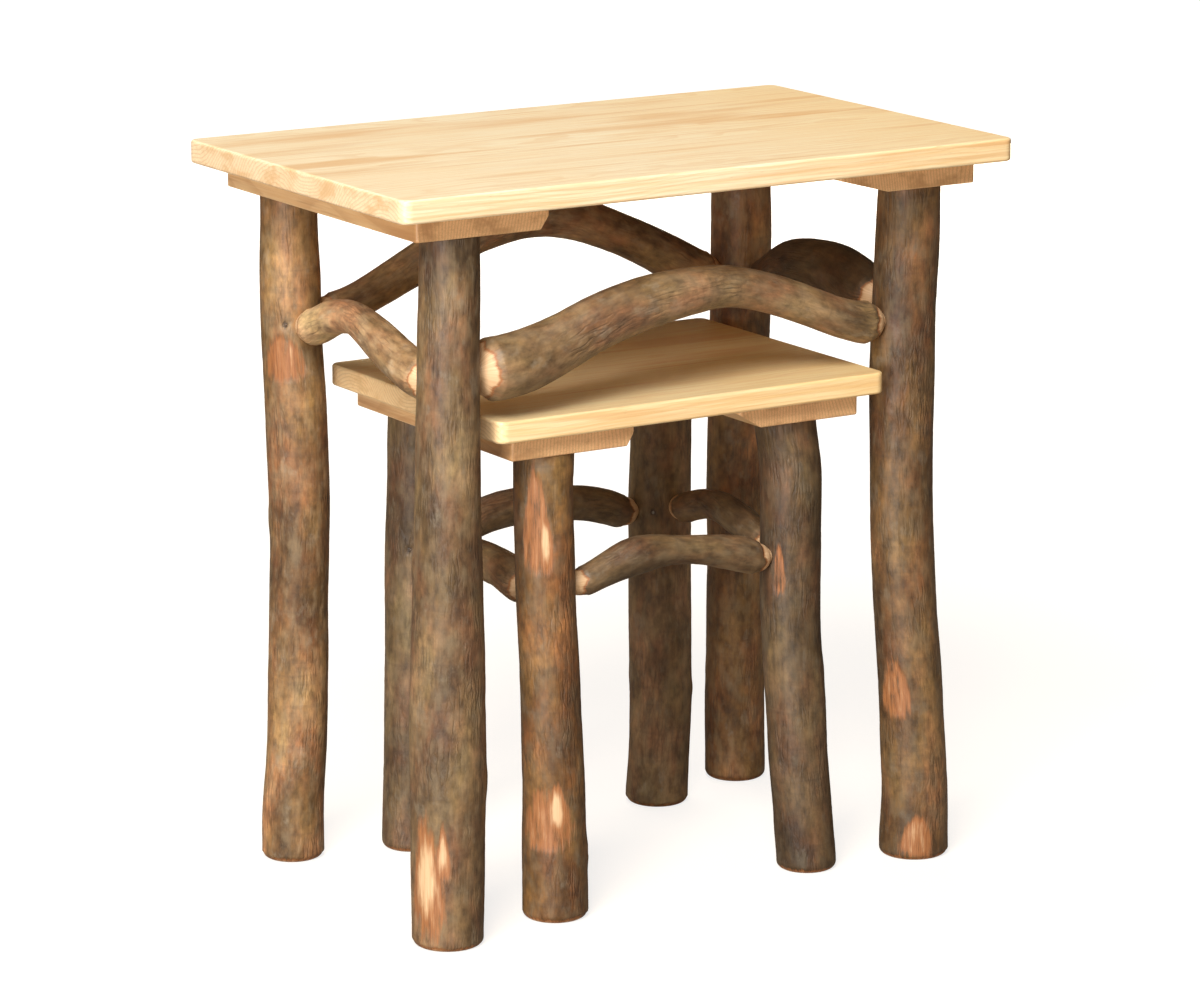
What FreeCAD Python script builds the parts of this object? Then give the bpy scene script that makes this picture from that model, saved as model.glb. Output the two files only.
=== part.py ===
import FreeCAD, Part
import math
import os
from types import SimpleNamespace

# Nest of two rustic tables, a large one and a small one that stands beneath it, in millimetres.
# X runs along the long side, the front faces minus Y, and Z is up.
# The origin is on the floor, under the middle of the large top.

Vector = FreeCAD.Vector
UP = Vector(0, 0, 1)
CORNERS = {"front_left": (-1, -1), "front_right": (1, -1), "back_left": (-1, 1), "back_right": (1, 1)}
STRETCHER_LEGS = {
    "front": ("front_left", "front_right"),
    "back": ("back_left", "back_right"),
    "left": ("front_left", "back_left"),
    "right": ("front_right", "back_right"),
}

# Large table: top and cleats
LARGE_HEIGHT = 610.0
LARGE_LENGTH = 576.0
LARGE_WIDTH = 354.0
LARGE_BOARD_THICKNESS = 19.0
LARGE_CLEAT_THICKNESS = 19.0
LARGE_LEFT_CLEAT_WIDTH = 120.0
LARGE_RIGHT_CLEAT_WIDTH = 134.0
LARGE_LEFT_CLEAT_BEVEL = 9.0
LARGE_RIGHT_CLEAT_BEVEL = 48.0
LARGE_CLEAT_END_INSET = 24.0
LARGE_CLEAT_EDGE_INSET = 22.0

# Large table: legs, whose places are those of the leg's top, and which splay out towards the floor
LARGE_LEG_DIAMETER = 53.0
LARGE_LEG_END_INSET = 66.0
LARGE_LEG_EDGE_INSET = 48.0
LARGE_SPLAY_ALONG = 3.0
LARGE_SPLAY_ACROSS = 6.0
LARGE_LEG_TENON_DIAMETER = 25.0

# Large table: stretchers, whose drops are measured from the cleats' underside to the tenon
LARGE_STRETCHER_TENON_DIAMETER = 19.0
LARGE_FRONT_DIAMETER = 50.0
LARGE_FRONT_RISE = 45.0
LARGE_FRONT_LEFT_DROP = 111.0
LARGE_FRONT_RIGHT_DROP = 115.0
LARGE_BACK_DIAMETER = 38.0
LARGE_BACK_RISE = 63.0
LARGE_BACK_LEFT_DROP = 106.0
LARGE_BACK_RIGHT_DROP = 111.0
LARGE_LEFT_DIAMETER = 36.0
LARGE_LEFT_RISE = 22.0
LARGE_LEFT_FRONT_DROP = 120.0
LARGE_LEFT_BACK_DROP = 110.0
LARGE_RIGHT_DIAMETER = 44.0
LARGE_RIGHT_RISE = 22.0
LARGE_RIGHT_FRONT_DROP = 104.0
LARGE_RIGHT_BACK_DROP = 118.0

# Room round the small table inside the large one
NEST_HEADROOM = 13.0
NEST_SIDE_GAP = 10.5
NEST_FORWARD = 7.0

# Small table: top and cleats
SMALL_WIDTH = 276.0
SMALL_BOARD_THICKNESS = 18.0
SMALL_CLEAT_THICKNESS = 18.0
SMALL_LEFT_CLEAT_WIDTH = 115.0
SMALL_RIGHT_CLEAT_WIDTH = 117.0
SMALL_LEFT_CLEAT_BEVEL = 8.0
SMALL_RIGHT_CLEAT_BEVEL = 22.0
SMALL_CLEAT_END_INSET = 19.0
SMALL_CLEAT_EDGE_INSET = 13.0

# Small table: legs
SMALL_LEG_DIAMETER = 51.0
SMALL_LEG_END_INSET = 63.4
SMALL_LEG_EDGE_INSET = 36.0
SMALL_SPLAY_ALONG = 2.4
SMALL_SPLAY_ACROSS = 11.4
SMALL_LEG_TENON_DIAMETER = 22.0

# Small table: stretchers
SMALL_STRETCHER_TENON_DIAMETER = 16.0
SMALL_FRONT_DIAMETER = 31.0
SMALL_FRONT_RISE = 17.0
SMALL_FRONT_LEFT_DROP = 113.0
SMALL_FRONT_RIGHT_DROP = 117.0
SMALL_BACK_DIAMETER = 32.0
SMALL_BACK_RISE = 16.0
SMALL_BACK_LEFT_DROP = 115.0
SMALL_BACK_RIGHT_DROP = 118.0
SMALL_LEFT_DIAMETER = 33.0
SMALL_LEFT_RISE = 9.0
SMALL_LEFT_FRONT_DROP = 117.0
SMALL_LEFT_BACK_DROP = 119.0
SMALL_RIGHT_DIAMETER = 28.0
SMALL_RIGHT_RISE = 13.0
SMALL_RIGHT_FRONT_DROP = 115.0
SMALL_RIGHT_BACK_DROP = 112.0

# Edges of the boards, the cleats and the feet
TOP_CORNER_RADIUS = 9.0
TOP_EDGE_RADIUS = 2.5
CLEAT_BEVEL_DEPTH = 13.0
CLEAT_EDGE_RADIUS = 1.5
CLEAT_CORNER_RADIUS = 3.0
FOOT_CHAMFER = 5.0

# Joints
TENON_CLEARANCE = 0.1
TENON_TIP_GAP = 1.0
TENON_TIP_SPACING = 1.5
SHOULDER_LENGTH = 12.0
SHOULDER_SINK = 1.5
SHOULDER_GAP = 0.8
SHOULDER_LIP = 1.5

# Flat head wood screws that hold the boards to the cleats
SCREW_LENGTH = 32.0
SCREW_DIAMETER = 4.2
SCREW_HEAD_DIAMETER = 8.0
SCREW_HEAD_HEIGHT = 3.0
SCREW_POINT_LENGTH = 7.0
SCREW_RECESS_LENGTH = 4.2
SCREW_RECESS_WIDTH = 0.9
SCREW_RECESS_DEPTH = 1.4
SCREW_LEG_GAP = 9.0
SCREW_CLEARANCE = 0.05

# Nails that pin the stretchers' tenons in the legs
NAIL_LENGTH = 22.0
NAIL_DIAMETER = 1.8
NAIL_HEAD_DIAMETER = 2.8
NAIL_HEAD_THICKNESS = 0.9
NAIL_SET_DEPTH = 1.5
NAIL_CLEARANCE = 0.05

# Sections along each log and the degree of its skin, and the widths of the boards from front to back
LEG_SECTIONS = 16
STRETCHER_SECTIONS = 10
LEG_LOFT_DEGREE = 3
STRETCHER_LOFT_DEGREE = 2
TANGENT_STEP_SHARE = 0.01
PEELED_END_SHARE = 0.93
SHOULDER_BULGE_SHARE = 0.45
LARGE_BOARD_SHARES = (0.26, 0.23, 0.27, 0.24)
SMALL_BOARD_SHARES = (0.35, 0.31, 0.34)

# Natural shape of each leg: how far up, the bends in leg diameters, and the girth
LARGE_LEG_HEIGHT_SHARES = (0, 0.1, 0.22, 0.36, 0.5, 0.64, 0.78, 0.9, 1)
LARGE_LEG_BEND_ALONG_SHARES = {
    "front_left": (-0.07, -0.045, -0.025, -0.02, -0.025, -0.045, -0.035, 0.015, 0.045),
    "front_right": (0.03, 0.045, 0.03, -0.01, -0.045, -0.01, 0.03, 0.06, 0.055),
    "back_left": (0.035, 0.06, 0.105, 0.105, 0.11, 0.08, 0.015, -0.01, -0.01),
    "back_right": (0, 0.01, 0.03, 0.01, -0.02, -0.025, -0.01, 0.005, 0.01),
}
LARGE_LEG_BEND_ACROSS_SHARES = {
    "front_left": (0, 0.04, 0.055, 0.04, 0, -0.04, -0.055, -0.02, 0),
    "front_right": (0, 0, 0.06, 0.17, 0.25, 0.32, 0.34, 0.28, 0.21),
    "back_left": (0, -0.02, -0.075, -0.11, -0.15, -0.15, -0.11, -0.075, -0.06),
    "back_right": (0, 0.04, 0.06, 0.04, 0, -0.04, -0.06, -0.04, 0),
}
LARGE_LEG_GIRTH_SHARES = {
    "front_left": (1.09, 1.13, 1.16, 1.13, 1.06, 1.0, 0.95, 0.925, 0.905),
    "front_right": (1.11, 1.06, 1.02, 1.02, 1.0, 1.02, 1.02, 1.0, 0.98),
    "back_left": (0.98, 0.98, 0.95, 0.945, 0.95, 0.97, 0.96, 0.92, 0.89),
    "back_right": (1.02, 1.0, 0.99, 0.98, 0.98, 1.0, 1.0, 0.98, 0.96),
}
SMALL_LEG_HEIGHT_SHARES = (0, 0.12, 0.25, 0.38, 0.55, 0.72, 0.88, 1)
SMALL_LEG_BEND_ALONG_SHARES = {
    "front_left": (0.08, 0.08, 0.09, 0.07, 0.055, 0.015, 0.005, 0.01),
    "front_right": (0.055, 0.02, -0.025, -0.03, -0.045, -0.01, 0.01, -0.07),
    "back_left": (0, 0.02, 0.03, 0.02, 0, -0.01, 0.01, 0.02),
    "back_right": (0, 0.01, 0.02, 0.01, -0.01, -0.02, -0.01, 0),
}
SMALL_LEG_BEND_ACROSS_SHARES = {
    "front_left": (0, 0, 0, 0, 0.04, 0.06, 0.06, 0.06),
    "front_right": (0, 0.02, 0.08, 0.12, 0.20, 0.24, 0.24, 0.27),
    "back_left": (0, 0.02, 0.03, 0.02, 0, -0.02, -0.03, -0.02),
    "back_right": (0, -0.02, -0.03, -0.02, 0, 0.02, 0.03, 0.02),
}
SMALL_LEG_GIRTH_SHARES = {
    "front_left": (1.05, 1.04, 1.0, 0.97, 0.955, 0.95, 0.955, 0.96),
    "front_right": (1.0, 0.99, 0.99, 0.99, 0.99, 1.0, 1.02, 1.0),
    "back_left": (1.0, 1.0, 0.99, 0.98, 0.97, 0.97, 0.98, 0.98),
    "back_right": (1.06, 1.05, 1.06, 1.07, 1.06, 1.05, 1.04, 1.03),
}

# Natural shape of each stretcher between its shoulders: how far along, the arch in rises,
# the sideways bend in diameters, and the girth
LARGE_STRETCHER_RUN_SHARES = {
    "front": (0, 0.05, 0.13, 0.21, 0.30, 0.40, 0.50, 0.58, 0.66, 0.76, 0.85, 0.93, 1),
    "back": (0, 0.05, 0.14, 0.23, 0.32, 0.42, 0.50, 0.58, 0.66, 0.75, 0.84, 0.92, 1),
    "left": (0, 0.10, 0.24, 0.38, 0.50, 0.62, 0.78, 0.90, 1),
    "right": (0, 0.08, 0.20, 0.38, 0.55, 0.70, 0.84, 1),
}
LARGE_STRETCHER_RISE_SHARES = {
    "front": (0, 0.03, 0.16, 0.41, 0.69, 0.87, 0.97, 1, 0.91, 0.69, 0.40, 0.15, 0),
    "back": (0, 0.05, 0.26, 0.49, 0.71, 0.91, 1, 1, 0.89, 0.68, 0.45, 0.20, 0),
    "left": (0, 0.17, 0.50, 0.82, 0.98, 1, 0.75, 0.33, 0),
    "right": (0, 0.10, 0.40, 0.82, 1, 0.97, 0.62, 0),
}
LARGE_STRETCHER_BEND_SHARES = {
    "front": (0, 0, -0.02, -0.05, -0.08, -0.08, -0.05, 0, 0.04, 0.06, 0.05, 0.02, 0),
    "back": (0, 0, 0.03, 0.06, 0.08, 0.05, 0, -0.05, -0.08, -0.06, -0.03, 0, 0),
    "left": (0, 0.03, 0.07, 0.08, 0.04, -0.02, -0.05, -0.02, 0),
    "right": (0, -0.02, -0.05, -0.04, 0.02, 0.05, 0.03, 0),
}
LARGE_STRETCHER_GIRTH_SHARES = {
    "front": (1, 1, 0.98, 0.90, 0.86, 0.86, 0.80, 0.70, 0.68, 0.66, 0.65, 0.68, 0.72),
    "back": (0.74, 0.77, 0.82, 0.87, 0.93, 0.98, 1, 1, 0.97, 0.95, 0.98, 1, 0.95),
    "left": (1, 0.98, 0.92, 0.86, 0.80, 0.77, 0.78, 0.83, 0.86),
    "right": (0.94, 0.97, 1, 1, 0.97, 0.94, 0.93, 0.93),
}
SMALL_STRETCHER_RUN_SHARES = {
    "front": (0, 0.08, 0.18, 0.30, 0.42, 0.55, 0.70, 0.82, 0.92, 1),
    "back": (0, 0.10, 0.22, 0.40, 0.60, 0.75, 0.88, 1),
    "left": (0, 0.12, 0.30, 0.55, 0.75, 0.90, 1),
    "right": (0, 0.12, 0.32, 0.55, 0.72, 0.88, 1),
}
SMALL_STRETCHER_RISE_SHARES = {
    "front": (0, 0.28, 0.65, 0.95, 1, 0.93, 0.76, 0.54, 0.30, 0),
    "back": (0, 0.35, 0.75, 1, 0.95, 0.80, 0.50, 0),
    "left": (0, 0.30, 0.70, 1, 0.80, 0.38, 0),
    "right": (0, 0.30, 0.80, 1, 0.85, 0.42, 0),
}
SMALL_STRETCHER_BEND_SHARES = {
    "front": (0, -0.02, -0.05, -0.06, -0.02, 0.04, 0.06, 0.04, 0.02, 0),
    "back": (0, 0.03, 0.06, 0.03, -0.04, -0.06, -0.03, 0),
    "left": (0, -0.03, -0.05, 0.02, 0.05, 0.02, 0),
    "right": (0, 0.03, 0.05, -0.02, -0.05, -0.02, 0),
}
SMALL_STRETCHER_GIRTH_SHARES = {
    "front": (0.80, 0.83, 0.93, 1, 0.90, 0.80, 0.84, 0.92, 0.97, 0.93),
    "back": (0.88, 0.92, 0.98, 1, 0.95, 0.93, 0.95, 0.92),
    "left": (1, 1, 0.94, 0.88, 0.86, 0.88, 0.90),
    "right": (0.92, 0.95, 1, 0.97, 0.93, 0.92, 0.94),
}

# The two tables, with the small one sized from the room inside the large one
LARGE = SimpleNamespace(
    name="large",
    height=LARGE_HEIGHT,
    length=LARGE_LENGTH,
    width=LARGE_WIDTH,
    middle_y=0,
    board_thickness=LARGE_BOARD_THICKNESS,
    board_shares=LARGE_BOARD_SHARES,
    board_names=("front", "mid_front", "mid_back", "back"),
    cleat_thickness=LARGE_CLEAT_THICKNESS,
    cleat_widths={"left": LARGE_LEFT_CLEAT_WIDTH, "right": LARGE_RIGHT_CLEAT_WIDTH},
    cleat_bevels={"left": LARGE_LEFT_CLEAT_BEVEL, "right": LARGE_RIGHT_CLEAT_BEVEL},
    cleat_end_inset=LARGE_CLEAT_END_INSET,
    cleat_edge_inset=LARGE_CLEAT_EDGE_INSET,
    leg_diameter=LARGE_LEG_DIAMETER,
    leg_end_inset=LARGE_LEG_END_INSET,
    leg_edge_inset=LARGE_LEG_EDGE_INSET,
    splay_along=LARGE_SPLAY_ALONG,
    splay_across=LARGE_SPLAY_ACROSS,
    leg_tenon_radius=LARGE_LEG_TENON_DIAMETER / 2,
    leg_height_shares=LARGE_LEG_HEIGHT_SHARES,
    leg_along_shares=LARGE_LEG_BEND_ALONG_SHARES,
    leg_across_shares=LARGE_LEG_BEND_ACROSS_SHARES,
    leg_girth_shares=LARGE_LEG_GIRTH_SHARES,
    tenon_radius=LARGE_STRETCHER_TENON_DIAMETER / 2,
    run_shares=LARGE_STRETCHER_RUN_SHARES,
    rise_shares=LARGE_STRETCHER_RISE_SHARES,
    bend_shares=LARGE_STRETCHER_BEND_SHARES,
    girth_shares=LARGE_STRETCHER_GIRTH_SHARES,
    diameters={
        "front": LARGE_FRONT_DIAMETER,
        "back": LARGE_BACK_DIAMETER,
        "left": LARGE_LEFT_DIAMETER,
        "right": LARGE_RIGHT_DIAMETER,
    },
    rises={
        "front": LARGE_FRONT_RISE,
        "back": LARGE_BACK_RISE,
        "left": LARGE_LEFT_RISE,
        "right": LARGE_RIGHT_RISE,
    },
    drops={
        "front": (LARGE_FRONT_LEFT_DROP, LARGE_FRONT_RIGHT_DROP),
        "back": (LARGE_BACK_LEFT_DROP, LARGE_BACK_RIGHT_DROP),
        "left": (LARGE_LEFT_FRONT_DROP, LARGE_LEFT_BACK_DROP),
        "right": (LARGE_RIGHT_FRONT_DROP, LARGE_RIGHT_BACK_DROP),
    },
)


def lowest_stretcher_side(table):
    """Height above the floor that everything under the table's arches has to stay below."""
    joints = [
        leg_length(table) - drop - table.diameters[side] * share / 2
        for side, drops in table.drops.items()
        for drop, share in zip(drops, (table.girth_shares[side][0], table.girth_shares[side][-1]))
    ]
    return min(joints)


def leg_length(table):
    """Height of the cleats' underside, where each leg's shoulder ends."""
    return table.height - table.board_thickness - table.cleat_thickness


SMALL = SimpleNamespace(
    name="small",
    height=lowest_stretcher_side(LARGE) - NEST_HEADROOM,
    length=LARGE_LENGTH - 2 * LARGE_LEG_END_INSET - LARGE_LEG_DIAMETER - 2 * NEST_SIDE_GAP,
    width=SMALL_WIDTH,
    middle_y=-NEST_FORWARD,
    board_thickness=SMALL_BOARD_THICKNESS,
    board_shares=SMALL_BOARD_SHARES,
    board_names=("front", "middle", "back"),
    cleat_thickness=SMALL_CLEAT_THICKNESS,
    cleat_widths={"left": SMALL_LEFT_CLEAT_WIDTH, "right": SMALL_RIGHT_CLEAT_WIDTH},
    cleat_bevels={"left": SMALL_LEFT_CLEAT_BEVEL, "right": SMALL_RIGHT_CLEAT_BEVEL},
    cleat_end_inset=SMALL_CLEAT_END_INSET,
    cleat_edge_inset=SMALL_CLEAT_EDGE_INSET,
    leg_diameter=SMALL_LEG_DIAMETER,
    leg_end_inset=SMALL_LEG_END_INSET,
    leg_edge_inset=SMALL_LEG_EDGE_INSET,
    splay_along=SMALL_SPLAY_ALONG,
    splay_across=SMALL_SPLAY_ACROSS,
    leg_tenon_radius=SMALL_LEG_TENON_DIAMETER / 2,
    leg_height_shares=SMALL_LEG_HEIGHT_SHARES,
    leg_along_shares=SMALL_LEG_BEND_ALONG_SHARES,
    leg_across_shares=SMALL_LEG_BEND_ACROSS_SHARES,
    leg_girth_shares=SMALL_LEG_GIRTH_SHARES,
    tenon_radius=SMALL_STRETCHER_TENON_DIAMETER / 2,
    run_shares=SMALL_STRETCHER_RUN_SHARES,
    rise_shares=SMALL_STRETCHER_RISE_SHARES,
    bend_shares=SMALL_STRETCHER_BEND_SHARES,
    girth_shares=SMALL_STRETCHER_GIRTH_SHARES,
    diameters={
        "front": SMALL_FRONT_DIAMETER,
        "back": SMALL_BACK_DIAMETER,
        "left": SMALL_LEFT_DIAMETER,
        "right": SMALL_RIGHT_DIAMETER,
    },
    rises={
        "front": SMALL_FRONT_RISE,
        "back": SMALL_BACK_RISE,
        "left": SMALL_LEFT_RISE,
        "right": SMALL_RIGHT_RISE,
    },
    drops={
        "front": (SMALL_FRONT_LEFT_DROP, SMALL_FRONT_RIGHT_DROP),
        "back": (SMALL_BACK_LEFT_DROP, SMALL_BACK_RIGHT_DROP),
        "left": (SMALL_LEFT_FRONT_DROP, SMALL_LEFT_BACK_DROP),
        "right": (SMALL_RIGHT_FRONT_DROP, SMALL_RIGHT_BACK_DROP),
    },
)


def ease(share):
    """Goes from 0 to 1 and is level at both ends."""
    return share * share * (3 - 2 * share)


def smooth(shares, values, share):
    """Value at a share, on a cubic curve through the listed points that is level at both ends."""
    last = len(shares) - 1
    start = min(sum(share >= knot for knot in shares[1:]), last - 1)
    end = start + 1

    def slope(index):
        if index in (0, last):
            return 0
        return (values[index + 1] - values[index - 1]) / (shares[index + 1] - shares[index - 1])

    width = shares[end] - shares[start]
    part = (share - shares[start]) / width
    bow = slope(start) * part * (1 - part) ** 2 - slope(end) * part ** 2 * (1 - part)
    return values[start] + (values[end] - values[start]) * ease(part) + width * bow


def ring(centre, radius, direction, seam):
    """Round section of a log, square to a direction, with its seam on a given side."""
    edge = Part.makeCircle(radius)
    edge.Placement = FreeCAD.Placement(centre, FreeCAD.Rotation(seam, Vector(), direction, "ZXY"))
    return Part.Wire([edge])


def fused(shapes):
    """Joins shapes that make one solid piece of wood or metal."""
    whole = shapes[0].multiFuse(shapes[1:])
    return whole.removeSplitter()


def leg_at(table, leg, height):
    """Centre and radius of a leg's log at a height above the floor."""
    share = height / leg_length(table)
    side_x, side_y = CORNERS[leg]
    along = smooth(table.leg_height_shares, table.leg_along_shares[leg], share)
    across = smooth(table.leg_height_shares, table.leg_across_shares[leg], share)
    girth = smooth(table.leg_height_shares, table.leg_girth_shares[leg], share)
    out_x = table.length / 2 - table.leg_end_inset + table.splay_along * (1 - share)
    out_y = table.width / 2 - table.leg_edge_inset + table.splay_across * (1 - share)
    x = side_x * out_x + along * table.leg_diameter
    y = table.middle_y + side_y * out_y + across * table.leg_diameter
    return Vector(x, y, height), girth * table.leg_diameter / 2


def joint_at(table, side, end):
    """Where a stretcher enters a leg: the leg's centre and radius, and the way into the span."""
    legs = STRETCHER_LEGS[side]
    drops = table.drops[side]
    centre, radius = leg_at(table, legs[end], leg_length(table) - drops[end])
    other, _ = leg_at(table, legs[1 - end], leg_length(table) - drops[1 - end])
    inward = Vector(other.x - centre.x, other.y - centre.y, 0)
    inward.normalize()
    return centre, radius, inward


def tenon_tip(table):
    """Distance from the leg's centre to a tenon's tip, so that two tenons pass in one leg."""
    return table.tenon_radius + TENON_TIP_SPACING


def stretcher_bore(table, side, end):
    """Bore in a leg that takes a stretcher's tenon."""
    centre, radius, inward = joint_at(table, side, end)
    start = tenon_tip(table) - TENON_TIP_GAP
    bore_radius = table.tenon_radius + TENON_CLEARANCE
    return Part.makeCylinder(bore_radius, radius + SHOULDER_GAP - start, centre + inward * start, inward)


def stretcher_end(table, side, end, full_radius):
    """Tenon and peeled shoulder in one turned shape, which runs a little way into the log."""
    centre, radius, inward = joint_at(table, side, end)
    tip = centre + inward * tenon_tip(table)
    near = centre + inward * (radius + SHOULDER_GAP)
    rim = near + inward * (SHOULDER_LENGTH - SHOULDER_SINK)
    root = near + inward * (SHOULDER_LENGTH + SHOULDER_SINK)
    lip = table.tenon_radius + SHOULDER_LIP
    half = (near + rim) / 2 + UP * (lip + (full_radius - lip) * (1 + SHOULDER_BULGE_SHARE) / 2)
    outline = Part.Wire([
        Part.makeLine(tip, tip + UP * table.tenon_radius),
        Part.makeLine(tip + UP * table.tenon_radius, near + UP * table.tenon_radius),
        Part.makeLine(near + UP * table.tenon_radius, near + UP * lip),
        Part.Arc(near + UP * lip, half, rim + UP * full_radius).toShape(),
        Part.makeLine(rim + UP * full_radius, root + UP * full_radius),
        Part.makeLine(root + UP * full_radius, root),
        Part.makeLine(root, tip),
    ])
    return Part.Face(outline).revolve(near, inward, 360)


def stretcher_path(table, side):
    """Function that gives a stretcher's centre and radius at a share of its barked run."""
    (start, start_radius, inward), (end, end_radius, _) = (joint_at(table, side, n) for n in (0, 1))
    first = start + inward * (start_radius + SHOULDER_GAP + SHOULDER_LENGTH)
    last = end - inward * (end_radius + SHOULDER_GAP + SHOULDER_LENGTH)
    sideways = UP.cross(inward)
    knots = table.run_shares[side]
    diameter = table.diameters[side]

    def at(share):
        rise = smooth(knots, table.rise_shares[side], share) * table.rises[side]
        bend = smooth(knots, table.bend_shares[side], share) * diameter
        girth = smooth(knots, table.girth_shares[side], share)
        level = first.z + (last.z - first.z) * ease(share) + rise
        centre = Vector(first.x, first.y, 0) * (1 - share) + Vector(last.x, last.y, 0) * share
        return centre + UP * level + sideways * bend, girth * diameter / 2

    return at, inward, sideways


def stretcher(table, side):
    """Arched stretcher with its bark, its peeled shoulders and its two tenons."""
    at, inward, sideways = stretcher_path(table, side)
    sections = []
    for number in range(STRETCHER_SECTIONS + 1):
        share = number / STRETCHER_SECTIONS
        centre, radius = at(share)
        direction = inward
        if 0 < number < STRETCHER_SECTIONS:
            direction = at(share + TANGENT_STEP_SHARE)[0] - at(share - TANGENT_STEP_SHARE)[0]
        sections.append(ring(centre, radius, direction, sideways))
    whole = Part.makeLoft(sections, True, False, False, STRETCHER_LOFT_DEGREE)
    for end in (0, 1):
        turned = stretcher_end(table, side, end, at(end)[1] * PEELED_END_SHARE)
        whole = whole.fuse(turned.cut(nail(table, side, end, NAIL_CLEARANCE)))
    return whole


def nail(table, side, end, clearance):
    """Nail across a tenon, or with a clearance the hole that it makes, with its entry in the leg."""
    centre, radius, inward = joint_at(table, side, end)
    reach = (tenon_tip(table) + radius) / 2
    outward = UP.cross(inward)
    if outward.dot(Vector(centre.x, centre.y - table.middle_y, 0)) < 0:
        outward = -outward
    way = outward if side in ("front", "back") else -outward
    chord = math.sqrt(radius ** 2 - reach ** 2)
    head = centre + inward * reach - way * (chord - NAIL_SET_DEPTH)
    shank = Part.makeCylinder(NAIL_DIAMETER / 2 + clearance, NAIL_LENGTH + clearance, head, way)
    cap_radius = NAIL_HEAD_DIAMETER / 2 + clearance
    if clearance:
        mouth = Part.makeCylinder(cap_radius, radius, head - way * (radius - NAIL_HEAD_THICKNESS), way)
        return shank.fuse(mouth)
    return shank.fuse(Part.makeCylinder(cap_radius, NAIL_HEAD_THICKNESS, head, way)).removeSplitter()


def leg(table, name):
    """Log leg with a chamfered foot, a tenon for the cleat and bores for two stretchers."""
    length = leg_length(table)
    sections = []
    for number in range(LEG_SECTIONS + 1):
        centre, radius = leg_at(table, name, length * number / LEG_SECTIONS)
        sections.append(ring(centre, radius, UP, Vector(1, 0, 0)))
    log = Part.makeLoft(sections, True, False, False, LEG_LOFT_DEGREE)
    foot, foot_radius = leg_at(table, name, 0)
    sole = foot_radius - FOOT_CHAMFER
    log = log.common(Part.makeCone(sole, sole + length, length, foot, UP))
    head, _ = leg_at(table, name, length)
    tenon_length = table.cleat_thickness - TENON_TIP_GAP
    log = fused([log, Part.makeCylinder(table.leg_tenon_radius, tenon_length, head, UP)])
    for side, legs in STRETCHER_LEGS.items():
        if name in legs:
            end = legs.index(name)
            log = log.cut(stretcher_bore(table, side, end))
            log = log.cut(nail(table, side, end, NAIL_CLEARANCE))
    return log


def screw_places(table):
    """Underside centres of the screws, one for each board in each cleat."""
    inset = table.leg_end_inset + table.leg_diameter / 2 + SCREW_LEG_GAP
    places = []
    for side in ("left", "right"):
        x = (table.length / 2 - inset) * (-1 if side == "left" else 1)
        edge = table.middle_y - table.width / 2
        for share in table.board_shares:
            places.append((side, Vector(x, edge + table.width * share / 2, leg_length(table))))
            edge += table.width * share
    return places


def screw(place, clearance):
    """Flat head wood screw that points up, or with a clearance the hole that it makes."""
    shank_radius = SCREW_DIAMETER / 2 + clearance
    head_radius = SCREW_HEAD_DIAMETER / 2 + clearance
    neck = SCREW_LENGTH - SCREW_POINT_LENGTH
    body = fused([
        Part.makeCone(head_radius, shank_radius, SCREW_HEAD_HEIGHT, place, UP),
        Part.makeCylinder(shank_radius, neck, place, UP),
        Part.makeCone(shank_radius, 0, SCREW_POINT_LENGTH + clearance, place + UP * neck, UP),
    ])
    if clearance:
        return body
    for length, width in ((SCREW_RECESS_LENGTH, SCREW_RECESS_WIDTH), (SCREW_RECESS_WIDTH, SCREW_RECESS_LENGTH)):
        corner = place - Vector(length / 2, width / 2, 0)
        body = body.cut(Part.makeBox(length, width, SCREW_RECESS_DEPTH, corner))
    return body


def rounded_slab(length, width, thickness, corner, corner_radius, edge_radius):
    """Flat board with rounded corners in plan and eased edges above and below."""
    slab = Part.makeBox(length, width, thickness, corner)
    upright = [edge for edge in slab.Edges if abs(edge.tangentAt(edge.FirstParameter).z) > 0.5]
    slab = slab.makeFillet(corner_radius, upright)
    level = [edge for edge in slab.Edges if abs(edge.tangentAt(edge.FirstParameter).z) < 0.5]
    return slab.makeFillet(edge_radius, level)


def top_boards(table):
    """Boards of the top, edge to edge, each with the holes of its two screws."""
    front = table.middle_y - table.width / 2
    low = table.height - table.board_thickness
    corner = Vector(-table.length / 2, front, low)
    slab = rounded_slab(
        table.length, table.width, table.board_thickness, corner, TOP_CORNER_RADIUS, TOP_EDGE_RADIUS)
    boards = {}
    for name, share in zip(table.board_names, table.board_shares):
        width = table.width * share
        strip = Part.makeBox(table.length, width, table.board_thickness, Vector(-table.length / 2, front, low))
        board = slab.common(strip)
        for _, place in screw_places(table):
            if front < place.y < front + width:
                board = board.cut(screw(place, SCREW_CLEARANCE))
        boards[name] = board
        front += width
    return boards


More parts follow.
